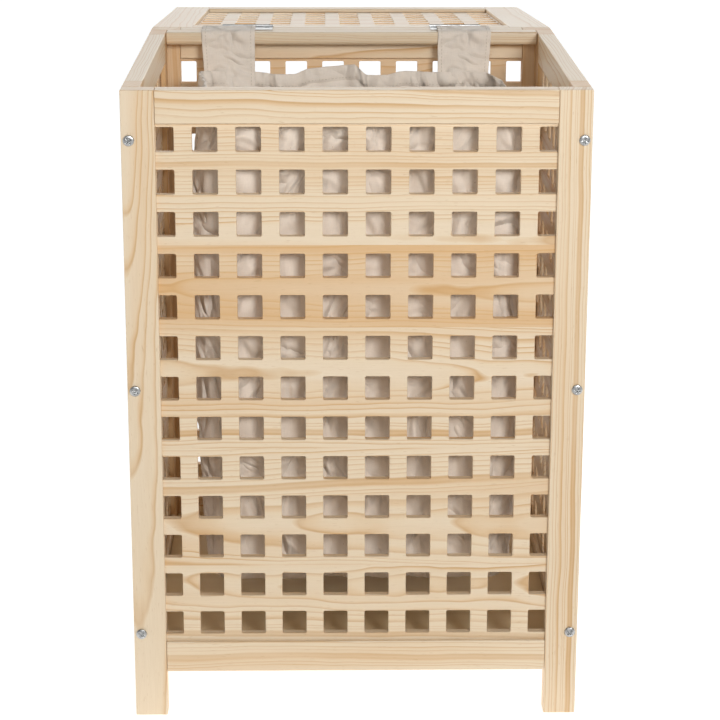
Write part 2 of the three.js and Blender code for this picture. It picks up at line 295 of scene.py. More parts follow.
def give_grain(piece, in_tree, tone_and_painted_shade):
    """Stores for each face corner its place in the tree and how amber its board is, which on the side
    stiles and back posts is painted warm shade.
    """
    mesh = piece.data
    grain = mesh.attributes.new("grain", "FLOAT_VECTOR", "CORNER")
    grain.data.foreach_set("vector", np.asarray(in_tree, float).ravel())
    tones_and_painted_shade = mesh.attributes.new("tone_and_painted_shade", "FLOAT", "CORNER")
    tones_and_painted_shade.data.foreach_set("value", np.broadcast_to(tone_and_painted_shade, len(in_tree)).astype(float))


def in_tree(places, middle, axes, heart, lean, turn_up):
    """Where places lie in the tree they were sawn from. The board's middle is heart mm from
    the heart, across and through, and the heart leans by lean mm per metre of length."""
    across, through, along = axes
    rest = places - middle
    height = rest[:, along]
    x = rest[:, across] + (heart[0] + lean[0] * height) * MM
    y = rest[:, through] + (heart[1] + lean[1] * height) * MM
    return np.stack([x, y, height + turn_up], axis=1)


# The lid's CAD nodes are turned shut about the hinge to read their sizes, and the finished
# boards are turned back.
hinge_joint = frame["joints"][0]
pin = np.array(hinge_joint["pos_m"])
swing = math.radians(hinge_joint["range_deg"][1])
shut = np.array(Matrix.Rotation(swing, 3, "X"))
on_lid = {n: b for b, nodes in frame["record"]["behaviour"]["bodies"].items() for n in nodes}


def flattened(mesh, body):
    """A mesh's vertices, in metres; those of a lid piece are turned shut."""
    places = np.empty(len(mesh.vertices) * 3)
    mesh.vertices.foreach_get("co", places)
    places = places.reshape(-1, 3)
    return (places - pin) @ shut.T + pin if body == "lid" else places


def flat_places(node):
    """A CAD node's vertices, flattened."""
    return flattened(frame["nodes"][node].data, on_lid[node])


def at_rest(places, body):
    """The reverse of flattened, for a finished piece's points."""
    return (places - pin) @ shut + pin if body == "lid" else places


def flat_corners(piece, body):
    """The places of a piece's face corners in their order, flattened."""
    order = np.empty(len(piece.data.loops), int)
    piece.data.loops.foreach_get("vertex_index", order)
    return flattened(piece.data, body)[order]


def strip_faces(rows, columns, closed=True):
    """Quads between each row of a grid and the next. A closed grid's columns make a ring."""
    r, c = np.meshgrid(np.arange(rows - 1), np.arange(columns if closed else columns - 1),
                       indexing="ij")
    d = (c + 1) % columns
    quads = np.stack([r * columns + c, r * columns + d, (r + 1) * columns + d,
                      (r + 1) * columns + c], axis=-1)
    return quads.reshape(-1, 4).tolist()


def closed_faces(points):
    """The faces of a row of rings: strips between them, and a cap at each end."""
    rings, count = points.shape[:2]
    last = (rings - 1) * count
    return strip_faces(rings, count) + [list(range(count)), list(range(last, last + count))]


EASE = 1.1 * MM  # round left by sanding an edge
GROOVE_GAP = 0.3 * MM
END_TURN = np.radians([12, 35, 60, 90])
ARC_POINTS = 4


def board_points(lo, hi, axes, groove=None, rounds=(EASE,) * 4):
    """A board from lo to hi, as rings of points carried along its length. A ring is a
    rectangle with round corners: its centre lines plus (round - inset) times the cosine and
    sine. Near an end the inset is ease(1 - sin a) at ease(1 - cos a) from the end face.
    groove is (side, bottom, near, far, start, stop): the ring steps in to bottom between
    near and far, for the length from start to stop."""
    across, through, along = axes
    end = EASE * (1 - np.cos(END_TURN))
    drop = EASE * (1 - np.sin(END_TURN))
    inner = []
    if groove:
        side, bottom, near, far, start, stop = groove
        inner = [z for z in (start - 0.02 * MM, start, stop, stop + 0.02 * MM)
                 if lo[along] + EASE < z < hi[along] - EASE]
    stations = np.concatenate([lo[along] + end, inner, (hi[along] - end)[::-1]])
    inset = np.concatenate([drop, np.zeros(len(inner)), drop[::-1]])

    quarter = np.radians(np.linspace(0, 90, ARC_POINTS))
    angle = np.concatenate([quarter + q * math.pi / 2 for q in (-1, 0, 1, 2)])
    sign_w = np.repeat([1, 1, -1, -1], ARC_POINTS)
    sign_t = np.repeat([-1, 1, 1, -1], ARC_POINTS)
    corner = np.repeat(rounds, ARC_POINTS)
    middle, half = (lo + hi) / 2, (hi - lo) / 2
    round_now = corner - inset[:, None]
    w = middle[across] + sign_w * (half[across] - corner) + round_now * np.cos(angle)
    t = middle[through] + sign_t * (half[through] - corner) + round_now * np.sin(angle)

    if groove:
        grooved = (stations >= start - 1e-9) & (stations <= stop + 1e-9)
        edge = middle[across] + side * (half[across] - inset)
        deep = np.where(grooved, bottom, edge)
        order = [near, near, far, far] if side > 0 else [far, far, near, near]
        groove_w = np.stack([edge, deep, deep, edge], axis=1)
        at = [ARC_POINTS if side > 0 else 3 * ARC_POINTS] * 4
        w = np.insert(w, at, groove_w, axis=1)
        t = np.insert(t, at, np.broadcast_to(order, groove_w.shape), axis=1)
    points = np.empty((*w.shape, 3))
    points[..., across], points[..., through], points[..., along] = w, t, stations[:, None]
    return points


def board(node, axes, lattice, heart, lean=(0, 0), tone_and_painted_shade=0.0, rounds=(EASE,) * 4):
    """One board in place of a CAD node, grooved where a lattice board enters it."""
    across, through, along = axes
    places = flat_places(node)
    lo, hi = places.min(0), places.max(0)
    groove = None
    if lattice:
        inside = flat_places(lattice)
        cut_lo, cut_hi = inside.min(0) - GROOVE_GAP, inside.max(0) + GROOVE_GAP
        side = 1 if (cut_lo + cut_hi)[across] > (lo + hi)[across] else -1
        bottom = cut_lo[across] if side > 0 else cut_hi[across]
        groove = (side, bottom, cut_lo[through], cut_hi[through], cut_lo[along], cut_hi[along])
    points = board_points(lo, hi, axes, groove, rounds)
    body = on_lid[node]
    piece = shown(node + "_board", at_rest(points.reshape(-1, 3), body), closed_faces(points),
                  pine, body, [node])
    give_grain(piece, in_tree(flat_corners(piece, body), (lo + hi) / 2, axes, heart, lean,
                              next(up_the_tree)), tone_and_painted_shade)
    weighted = piece.modifiers.new("flat_faces_stay_flat", "WEIGHTED_NORMAL")
    weighted.keep_sharp = True
    return piece


up_the_tree = itertools.count(0.0, 1.37)  # metres: each board comes from further up
X, Y, Z = 0, 1, 2
FRAMES = {
    "front": ((X, Y, Z), (Z, Y, X), ["post_left", "post_right", "rail_top", "rail_bottom"]),
    "back": ((X, Y, Z), (Z, Y, X), ["post_left", "post_right", "rail_top", "rail_bottom"]),
    "left": ((Y, X, Z), (Z, X, Y), ["stile_front", "stile_back", "rail_top", "rail_bottom"]),
    "right": ((Y, X, Z), (Z, X, Y), ["stile_front", "stile_back", "rail_top", "rail_bottom"]),
    "lid": ((X, Z, Y), (Y, Z, X), ["stile_left", "stile_right", "rail_front", "rail_back"]),
}
# Heart of the tree from the middle of the board, in mm across and through it, then its lean, then how amber it is.
# The high amber values of the side stiles and back posts are painted warm shade for their insides.
SAWN = {
    "front_post_left": ((12, -38), (12, 30), 0.1),
    "front_post_right": ((78, -20), (6, 4), 0.0),
    "front_rail_top": ((46, -52), (34, 10), 0.1),
    "front_rail_bottom": ((60, -60), (12, 8), 0.0),
    "left_stile_front": ((30, -55), (8, 12), 1.1),
    "left_stile_back": ((64, -40), (5, 9), 1.3),
    "right_stile_front": ((48, -50), (10, -8), 1.0),
    "right_stile_back": ((-58, -44), (6, 10), 1.2),
    "back_rail_top": ((20, -44), (16, 12), 0.1),
    "back_post_left": ((70, -30), (4, 8), 1.1),
    "back_post_right": ((-66, -36), (6, 8), 1.0),
}
rng = np.random.default_rng(7)
for panel, (upright_axes, level_axes, names) in FRAMES.items():
    for i, name in enumerate(names):
        node = f"{panel}_{name}"
        heart = (rng.uniform(-60, 60), rng.uniform(-70, -30))
        lean = (rng.uniform(-14, 14), rng.uniform(-25, 25))
        tone_and_painted_shade = rng.uniform(-0.1, 0.3)
        heart, lean, tone_and_painted_shade = SAWN.get(node, (heart, lean, tone_and_painted_shade))
        board(node, upright_axes if i < 2 else level_axes, f"{panel}_lattice", heart, lean, tone_and_painted_shade)


# ---- Lattice boards --------------------------------------------------------------------------
# Staves of pine are glued edge to edge into a thin board, and square holes are punched through
# it in rows, with slightly round corners and a soft edge. Here and there a corner has chipped.
CORNER = 1.6 * MM
HOLE_EASE = 0.5 * MM
CHIP = 1.6 * MM


def pierced(edges_u, edges_v, low, high, corner, ease, chips=None):
    """A board pierced by a grid of holes, as one cell round each hole. edges_u and edges_v are
    the board's own edges with the starts and ends of the holes between them. A cell is rings
    of 12 points: its outline on the face, the hole grown by ease on the face, the hole at ease
    deep, and the same on the other side. Returns points, faces and each face's row of holes."""
    hole_u = np.stack([edges_u[1:-1:2], edges_u[2:-1:2]], axis=1)
    hole_v = np.stack([edges_v[1:-1:2], edges_v[2:-1:2]], axis=1)

    def cells(edges, holes):
        between = (holes[:-1, 1] + holes[1:, 0]) / 2
        cuts = np.concatenate([edges[:1], between, edges[-1:]])
        return np.stack([cuts[:-1], cuts[1:]], axis=1)

    cell_u, cell_v = cells(edges_u, hole_u), cells(edges_v, hole_v)
    pick_u = np.repeat([1, 0, 0, 1], 3)
    pick_v = np.repeat([1, 1, 0, 0], 3)
    sign_u, sign_v = 2 * pick_u - 1, 2 * pick_v - 1
    angle = np.radians(np.concatenate([q + np.array([0, 45, 90]) for q in (0, 90, 180, 270)]))
    count_u, count_v = len(hole_u), len(hole_v)
    grow = np.zeros((count_u, count_v, 12)) if chips is None else chips

    inner_u = hole_u[:, pick_u] - sign_u * corner
    inner_v = hole_v[:, pick_v] - sign_v * corner

    def outline(extra):
        reach = corner + extra
        u = inner_u[:, None, :] + reach * np.cos(angle)
        v = inner_v[None, :, :] + reach * np.sin(angle)
        return np.broadcast_arrays(u, v)

    # The cell's outline has the corner itself between the two points level with the hole's.
    keep_u = np.tile([1, 1, 0, 0, 1, 1], 2).astype(bool)
    keep_v = np.tile([0, 1, 1, 1, 1, 0], 2).astype(bool)
    outer_u = np.where(keep_u, cell_u[:, pick_u], inner_u)[:, None, :]
    outer_v = np.where(keep_v, cell_v[:, pick_v], inner_v)[None, :, :]
    outer = np.broadcast_arrays(outer_u, outer_v)
    rings = [(outer, low), (outline(ease + grow), low), (outline(0 * grow), low + ease + grow / 2),
             (outline(0 * grow), high - ease), (outline(ease + 0 * grow), high), (outer, high)]
    points = np.stack([np.stack([*np.broadcast_arrays(u, v, w)], axis=-1)
                       for (u, v), w in rings], axis=2)

    ring, k = np.meshgrid(np.arange(5), np.arange(12), indexing="ij")
    cell_quads = np.stack([ring * 12 + k, ring * 12 + (k + 1) % 12,
                           (ring + 1) * 12 + (k + 1) % 12, (ring + 1) * 12 + k], axis=-1)
    start = np.arange(count_u * count_v)[:, None, None] * 72
    faces = (start + cell_quads.reshape(1, 60, 4)).reshape(-1, 4)
    row = np.tile(np.repeat(np.arange(count_v), 60), count_u)

    # The board's own four edges, from face to face.
    def rim(cell, hole):
        inner = np.stack([hole[:, 0] + corner, hole[:, 1] - corner], axis=1)
        return np.unique(np.round(np.concatenate([cell.ravel(), inner.ravel()]), 7))

    walls, wall_rows = [], []
    line_u, line_v = rim(cell_u, hole_u), rim(cell_v, hole_v)
    for fixed, line, first in [(edges_v[0], line_u, True), (edges_v[-1], line_u, True),
                               (edges_u[0], line_v, False), (edges_u[-1], line_v, False)]:
        a, b = line[:-1], line[1:]
        same = np.full(len(a), fixed)
        quad = [(a, low), (b, low), (b, high), (a, high)]
        quad = [(p, same, w) if first else (same, p, w) for p, w in quad]
        walls.append(np.stack([np.stack([*np.broadcast_arrays(*q)], axis=-1) for q in quad], 1))
        centre = same if first else (a + b) / 2
        wall_rows.append(np.clip(np.searchsorted(cell_v[:, 1], centre), 0, count_v - 1))
    wall_points = np.concatenate(walls).reshape(-1, 3)
    base = points.size // 3
    wall_faces = base + np.arange(len(wall_points)).reshape(-1, 4)
    points = np.concatenate([points.reshape(-1, 3), wall_points])
    return points, np.concatenate([faces, wall_faces]), np.concatenate([row, *wall_rows])


def edge_lines(places):
    """The board's own two edges, and between them the coordinates that a row of holes has in
    common: those with at least a quarter as many vertices as the commonest."""
    places = np.sort(places)
    first = np.flatnonzero(np.diff(places, prepend=-10) > 0.05 * MM)
    count = np.diff(first, append=len(places))
    kept = count > count.max() / 4
    kept[[0, -1]] = True
    return places[first[kept]]


def lattice_board(node, axes, staves, seed):
    """The lattice in place of a CAD node. axes are (across the staves, through, along them),
    and staves is a list of (number of rows of holes, heart, lean, tone)."""
    across, through, along = axes
    places = flat_places(node)
    lo, hi = places.min(0), places.max(0)
    edges_u, edges_v = edge_lines(places[:, along]), edge_lines(places[:, across])
    chance = np.random.default_rng(seed)
    shape = (len(edges_u) // 2 - 1, len(edges_v) // 2 - 1, 12)
    chips = np.where(chance.random(shape) < 0.02, chance.uniform(0.4, 1, shape) * CHIP, 0)
    points, faces, row = pierced(edges_u, edges_v, lo[through], hi[through], CORNER,
                                 HOLE_EASE, chips)
    flat = np.empty_like(points)
    flat[:, along], flat[:, across], flat[:, through] = points.T
    body = on_lid[node]

    # One vertex where cells meet, with the faces kept in their order.
    keys, back = np.unique(np.round(flat, 6), axis=0, return_inverse=True)
    faces = back.ravel()[faces]
    piece = shown(node + "_staves", at_rest(keys, body), faces.tolist(), pine, body,
                  [node], smooth_below=30)

    flat = flat_corners(piece, body)
    totals = np.cumsum([s[0] for s in staves])
    which = np.searchsorted(totals, row, side="right").clip(0, len(staves) - 1).repeat(4)
    grain, tones_and_painted_shade = np.empty_like(flat), np.empty(len(flat))
    middle = (lo + hi) / 2
    bounds = np.concatenate([edges_v[:1], (edges_v[2:-2:2] + edges_v[3:-2:2]) / 2, edges_v[-1:]])
    for i, (rows, heart, lean, tone_and_painted_shade) in enumerate(staves):
        mine = which == i
        middle[across] = (bounds[totals[i] - rows] + bounds[totals[i]]) / 2
        grain[mine] = in_tree(flat[mine], middle, axes, heart, lean, next(up_the_tree))
        tones_and_painted_shade[mine] = tone_and_painted_shade
    give_grain(piece, grain, tones_and_painted_shade)
    return piece


def random_staves(rows, seed):
    """Staves one to three rows wide until all rows are used."""
    chance = np.random.default_rng(seed)
    staves = []
    while rows > 0:
        width = min(rows, int(chance.integers(1, 4)))
        heart = (chance.uniform(-50, 50), chance.uniform(-80, -30))
        lean = (chance.uniform(-20, 20), chance.uniform(-30, 30))
        staves.append((width, heart, lean, chance.uniform(0, 0.6)))
        rows -= width
    return staves


# From the lowest row up: plain staves, then the wide amber one, then fine straight grain.
front_staves = [
    (2, (-30, -60), (14, 10), 0.05), (3, (22, -70), (-9, 22), 0.0), (3, (-14, -58), (8, -16), 0.05),
    (2, (4, -31), (5, 16), 1.0), (3, (66, -34), (10, 6), 0.0),
]
lattice_board("front_lattice", (Z, Y, X), front_staves, 1)
lattice_board("back_lattice", (Z, Y, X), random_staves(13, 2), 2)
lattice_board("left_lattice", (Z, X, Y), random_staves(13, 3), 3)
lattice_board("right_lattice", (Z, X, Y), random_staves(13, 4), 4)
lattice_board("lid_lattice", (Y, Z, X), random_staves(8, 5), 5)


# ---- Screws ----------------------------------------------------------------------------------
# Cross-recessed pan-head screws of bright zinc-plated steel hold the front and back frames to
# the side frames. The heads are pressed, so they are smooth domes with a soft rim.
def steel_material(name, dull, bright):
    """Zinc-plated steel, rolled or pressed. The plating is cloudy, from dull to bright, on the
    scale of a few millimetres, and fine scratches from handling make its gloss wander."""
    material, tree, shader = new_material(name)
    place = add(tree, "TexCoord").outputs["Object"]
    cloud = add(tree, "TexNoise", {"Vector": place, "Scale": 260.0, "Detail": 3.0}).outputs[0]
    colour = add(tree, "MixRGB", {0: cloud, 1: linear(dull), 2: linear(bright)}).outputs[0]
    gloss = add(tree, "MapRange", {"Value": cloud, "To Min": 0.22, "To Max": 0.42}).outputs[0]
    scratch = add(tree, "TexNoise", {"Vector": place, "Scale": 1900.0, "Detail": 2.0}).outputs[0]
    bump = add(tree, "Bump", {"Height": scratch, "Distance": 0.03 * MM, "Strength": 0.3})
    feed(tree, shader, {"Base Color": colour, "Roughness": gloss, "Metallic": 1.0,
                        "Normal": bump.outputs[0]})
    return material


steel = steel_material("zinc_plated_steel", "A9ABAD", "DADBDA")
AROUND = 40


def screw_points(profile, recess_reach, recess_depth, turned):
    """A screw about the Z axis with its head's underside at zero: a profile of (radius,
    height) points carried round the axis. Where the lesser of |x| and |y| is under a fifth of
    recess_reach and the greater is under recess_reach, the head sinks by recess_depth, with
    smooth walls, which makes the cross recess."""
    radius, height = np.array(profile).T
    angle = np.linspace(0, 2 * math.pi, AROUND, endpoint=False)
    x = radius[:, None] * np.cos(angle)
    y = radius[:, None] * np.sin(angle)
    arm, reach = np.minimum(abs(x), abs(y)), np.maximum(abs(x), abs(y))
    across = 1 - np.clip((arm / recess_reach - 0.16) / 0.12, 0, 1)
    along = 1 - np.clip((reach / recess_reach - 0.75) / 0.3, 0, 1)
    top = (np.arange(len(radius)) < HEAD_RINGS)[:, None]
    z = height[:, None] - recess_depth * across * along * top
    c, s = math.cos(turned), math.sin(turned)
    return np.stack([c * x - s * y, s * x + c * y, z], axis=-1)


HEAD_RINGS = 18
RECESS = 0.62  # the cross reaches this far out, as a share of the head's radius
PAN_RECESS_DEPTH = 1.7 * MM
HEAD_HEIGHT = 2.6 * MM
SHANK_RADIUS = 2.2 * MM
for node in sorted(n for n in on_lid if n.startswith("screw_")):
    lo, hi = (np.array(v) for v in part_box(node))
    rim, length = (hi - lo)[X] / 2, (hi - lo)[Y]
    r = np.linspace(0, 0.9, HEAD_RINGS)
    dome = [(rim * a, HEAD_HEIGHT * (1 - 0.42 * a ** 3)) for a in r]
    edge = [(rim * 0.97, HEAD_HEIGHT * 0.5), (rim, HEAD_HEIGHT * 0.3), (rim, 0)]
    shank = [(SHANK_RADIUS, 0), (SHANK_RADIUS, HEAD_HEIGHT + 3 * MM - length),
             (0, HEAD_HEIGHT - length)]
    points = screw_points(dome + edge + shank, RECESS * rim, PAN_RECESS_DEPTH, rng.uniform(0, 1.5))
    facing = -1 if "front" in node else 1
    top = lo[Y] if facing < 0 else hi[Y]
    placed = np.stack([(lo + hi)[X] / 2 + points[..., 0],
                       top + facing * (points[..., 2] - HEAD_HEIGHT),
                       (lo + hi)[Z] / 2 + points[..., 1]], axis=-1)
    shown(node + "_pan_head", placed, strip_faces(len(placed), AROUND), steel, "box",
          [node], smooth_below=60)


# ---- Bottom board ----------------------------------------------------------------------------
# A sheet of thin birch plywood lies loose on two pine battens, which are glued to the insides
# of the side frames.
def plywood_material():
    """Birch plywood: a rotary-cut face with long wavy figure, and thin layers that show as
    light and dark stripes on its edges."""
    material, tree, shader = new_material("birch_plywood")
    place = add(tree, "TexCoord").outputs["Object"]
    stretched = add(tree, "Mapping", {"Vector": place, "Scale": (3, 38, 900)}).outputs[0]
    figure = add(tree, "TexNoise", {"Vector": stretched, "Scale": 1.0, "Detail": 4.0,
                                    "Distortion": 0.6}).outputs[0]
    colour = add(tree, "MixRGB", {0: figure, 1: linear("F0DCB8"), 2: linear("E0C498")}).outputs[0]
    rough = add(tree, "MapRange", {"Value": figure, "To Min": 0.5, "To Max": 0.66}).outputs[0]
    bump = add(tree, "Bump", {"Height": figure, "Distance": 0.1 * MM, "Strength": 0.4})
    feed(tree, shader, {"Base Color": colour, "Roughness": rough, "Normal": bump.outputs[0]})
    return material


for side in ("left", "right"):
    board(f"floor_batten_{side}", (X, Z, Y), None, (30, -50), (5, 8), 0.1)
floor_lo, floor_hi = (np.array(v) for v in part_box("floor_board"))
floor_points = board_points(floor_lo, floor_hi, (Y, Z, X), rounds=(EASE / 2,) * 4)
shown("plywood_bottom", floor_points, closed_faces(floor_points), plywood_material(), "box",
      ["floor_board"])


# ---- Hinge bar -------------------------------------------------------------------------------
# A pine bar is glued along the inside of the back rail, level with its top, so that the hinge
# leaves have wood to be screwed to. Its inner edges are well rounded for the straps.
BAR_ROUND = 5 * MM
board("hinge_bar", (Y, Z, X), None, (14, -46), (6, 15), 0.0,
      rounds=(EASE, EASE, 2 * EASE, BAR_ROUND))


# ---- Hinges ----------------------------------------------------------------------------------
# Two steel butt hinges lie on top of the bar, with their barrels at the back. Each leaf is
# held by countersunk wood screws whose slightly domed heads stand a hair above the leaf.
for node in on_lid:
    if node.startswith("hinge_") and node != "hinge_bar":
        leaf = frame["nodes"][node]
        leaf.data.materials.clear()
        leaf.data.materials.append(steel)

dark_steel = steel_material("worn_zinc_on_wood_screws", "5E6062", "8F9192")
LEAF_THICKNESS = 0.9 * MM
LEAF_SCREW_RIM = 3.1 * MM
LEAF_SCREW_RISE = 0.22 * MM
LEAF_SCREW_IN = 7 * MM
LEAF_SCREW_BACK = 8.5 * MM
LEAF_SCREW_STAGGER = 8 * MM  # the middle screw of each leaf sits further from the barrel
LEAF_RECESS_DEPTH = 0.9 * MM
for side in ("left", "right"):
    for part, body in (("box_leaf", "box"), ("lid_leaf", "lid")):
        places = flat_places(f"hinge_{side}_{part}")
        lo, hi = places.min(0), places.max(0)
        up = 1 if body == "box" else -1
        plate = places[places[:, Y] < pin[Y] - 2 * LEAF_SCREW_RIM, Z]
        leaf_face = plate.max() if body == "box" else plate.min()
        for i, x in enumerate((lo[X] + LEAF_SCREW_IN, (lo + hi)[X] / 2, hi[X] - LEAF_SCREW_IN)):
            a = np.linspace(0, 1, HEAD_RINGS)
            dome = [(LEAF_SCREW_RIM * r, LEAF_SCREW_RISE * (1 - r ** 2)) for r in a]
            cone = [(LEAF_SCREW_RIM * 0.5, -LEAF_THICKNESS), (1.2 * MM, -3 * MM),
                    (0.9 * MM, -11 * MM), (0, -13 * MM)]
            points = screw_points(dome + cone, RECESS * LEAF_SCREW_RIM, LEAF_RECESS_DEPTH,
                                  rng.uniform(0, 1.5))
            placed = np.stack([x + points[..., 0],
                               pin[Y] - LEAF_SCREW_BACK - (i == 1) * LEAF_SCREW_STAGGER
                               + up * points[..., 1],
                               leaf_face + up * points[..., 2]], axis=-1)
            shown(f"hinge_{side}_{part}_screw_{i + 1}", at_rest(placed.reshape(-1, 3), body),
                  strip_faces(len(placed), AROUND), dark_steel, body,
                  smooth_below=60)


# ---- Bag -------------------------------------------------------------------------------------
# One length of unbleached cotton canvas goes round the four sides and a square piece closes the
# bottom. The bag hangs limp inside the box, so its sides draw in and crease, and its rim dips
# at the back, where only the two straps carry it.
def canvas_material():
    """Unbleached cotton canvas in plain weave. Threads are 0.5 mm apart and drawn at 0.9 mm so
    that they show. Thick and thin yarn gives streaks both ways, with a few dark seed flecks.
    The UV map is the cloth laid flat, in metres."""
    material, tree, shader = new_material("unbleached_cotton_canvas")
    flat = add(tree, "UVMap", uv_map="cloth").outputs[0]

    # Noises on the flat cloth, with scales in waves per metre both ways.
    noises = []
    for scale, detail in [((1150, 110, 1), 2.0), ((110, 1150, 1), 2.0), ((14, 14, 1), 3.0),
                          ((420, 260, 1), 1.0)]:
        place = add(tree, "VectorMath", {0: flat, 1: scale}, operation="MULTIPLY").outputs[0]
        noises.append(add(tree, "TexNoise", {"Vector": place, "Scale": 1.0,
                                             "Detail": detail}).outputs[0])
    warp, weft, cloud, seed_noise = noises
    yarn = add(tree, "Math", {0: warp, 1: weft}, operation="ADD").outputs[0]
    colour = add(tree, "MixRGB", {0: cloud, 1: linear("F0E3D4"), 2: linear("F7ECDF")}).outputs[0]
    light = add(tree, "MapRange", {"Value": yarn, "From Min": 0.7, "From Max": 1.3,
                                   "To Min": 0.95, "To Max": 1.03}).outputs[0]
    colour = add(tree, "VectorMath", {0: colour, 3: light}, operation="SCALE").outputs[0]
    fleck = add(tree, "MapRange", {"Value": seed_noise, "From Min": 0.76,
                                   "From Max": 0.82, "To Max": 0.5}).outputs[0]
    colour = add(tree, "MixRGB", {0: fleck, 1: colour, 2: linear("A88B6A")}).outputs[0]
    rough = add(tree, "MapRange", {"Value": yarn, "To Min": 0.82, "To Max": 0.94}).outputs[0]
    # Sharp little creases where the cloth has been crushed: the backs of a folded noise.
    crushed = add(tree, "VectorMath", {0: flat, 1: (15, 11, 1)}, operation="MULTIPLY").outputs[0]
    crushed = add(tree, "TexNoise", {"Vector": crushed, "Scale": 1.0, "Detail": 2.0,
                                     "Distortion": 1.2}).outputs[0]
    crease = add(tree, "Math", {0: crushed, 1: 0.5}, operation="SUBTRACT").outputs[0]
    crease = add(tree, "Math", {0: crease}, operation="ABSOLUTE").outputs[0]
    folds = add(tree, "Bump", {"Height": crease, "Distance": 42 * MM, "Strength": 0.8})
    bump = add(tree, "Bump", {"Height": yarn, "Distance": 0.3 * MM, "Strength": 0.4,
                              "Normal": folds.outputs[0]})
    feed(tree, shader, {"Base Color": colour, "Roughness": rough, "Sheen Weight": 0.15,
                        "Normal": bump.outputs[0]})
    return material


canvas = canvas_material()
CLOTH = 1.0 * MM
base_lo, base_hi = (np.array(v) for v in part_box("bag_base"))
front_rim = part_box("bag_front")[1].z
back_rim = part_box("bag_back")[1].z
bag_lo, bag_hi = base_lo + CLOTH, base_hi - CLOTH
BAG_CORNER = 52 * MM
BASE_CORNER = 22 * MM
bag_middle = (bag_lo + bag_hi) / 2
bag_half = (bag_hi - bag_lo) / 2

# The outline seen from above, from the middle of the front round by the right.
quarter = np.linspace(0, math.pi / 2, 9)
outline = [bag_middle[:2] + np.array((sx * (bag_half[0] - BAG_CORNER),
                                      sy * (bag_half[1] - BAG_CORNER)))
           + BAG_CORNER * np.stack([np.cos(quarter + q), np.sin(quarter + q)], axis=1)
           for sx, sy, q in [(1, -1, -math.pi / 2), (1, 1, 0), (-1, 1, math.pi / 2),
                             (-1, -1, math.pi)]]
outline = np.concatenate([[(bag_middle[0], bag_lo[1])], *outline,
                          [(bag_middle[0], bag_lo[1])]])
walked = np.concatenate([[0], np.cumsum(np.linalg.norm(np.diff(outline, axis=0), axis=1))])
BAG_ROUND = walked[-1]

# Creases: waves that close on themselves round the bag, slanting as they go down.
chance = np.random.default_rng(23)
CREASE = 2.9 * MM
BOW = 7 * MM
TAPER = 22 * MM  # how far each side has drawn in at the bottom
WAVES = [(int(k), chance.uniform(0, 1), chance.uniform(-0.16, 0.16) * k, 1.0 / k ** 0.52)
         for k in [*chance.integers(3, 26, 14), *chance.integers(26, 76, 26)]]


# Crumples: short creases in all directions, as (waves round the bag, turns down it, start).
CRUMPLE = 1.5 * MM
CRUMPLES = list(zip(chance.integers(-34, 34, 12).tolist(), chance.uniform(-14, 14, 12),
                    chance.uniform(0, 1, 12)))


def round_bag(s):
    """The place on the outline at s metres round it, and the direction outwards there."""
    s = np.mod(s, BAG_ROUND)
    place = np.stack([np.interp(s, walked, outline[:, i]) for i in (0, 1)], axis=-1)
    ahead = np.stack([np.interp(np.mod(s + 4 * MM, BAG_ROUND), walked, outline[:, i])
                      - np.interp(np.mod(s - 4 * MM, BAG_ROUND), walked, outline[:, i])
                      for i in (0, 1)], axis=-1)
    ahead /= np.linalg.norm(ahead, axis=-1, keepdims=True)
    return place, np.stack([ahead[..., 1], -ahead[..., 0]], axis=-1)


SIDE_SAG = 38 * MM


def rim_height(place):
    """The rim is level along the front, falls along the sides, the right one sagging by a sine,
    and at the back it lies in slack waves: a low hump left of the middle that ends in a sudden
    fold, and a dip beyond."""
    back = (place[..., 1] - bag_lo[1]) / (bag_hi[1] - bag_lo[1])
    back = np.clip(back, 0, 1)
    x = place[..., 0] / MM
    slack = np.interp(x, [-190, -122, -90, -64, -50, -20, 12, 26, 54, 70, 110, 198],
                      [0, -1, -5, -5, 2, 5, 8, -5, -6, -1, -2, 1]) * MM
    at_back = np.clip((back - 0.86) / 0.14, 0, 1)
    right = np.clip((place[..., 0] - bag_middle[0]) / bag_half[0], 0, 1)
    sag = SIDE_SAG * right ** 2 * np.sin(math.pi * back)
    return front_rim + (back_rim - front_rim) * back ** 1.15 + slack * at_back - sag


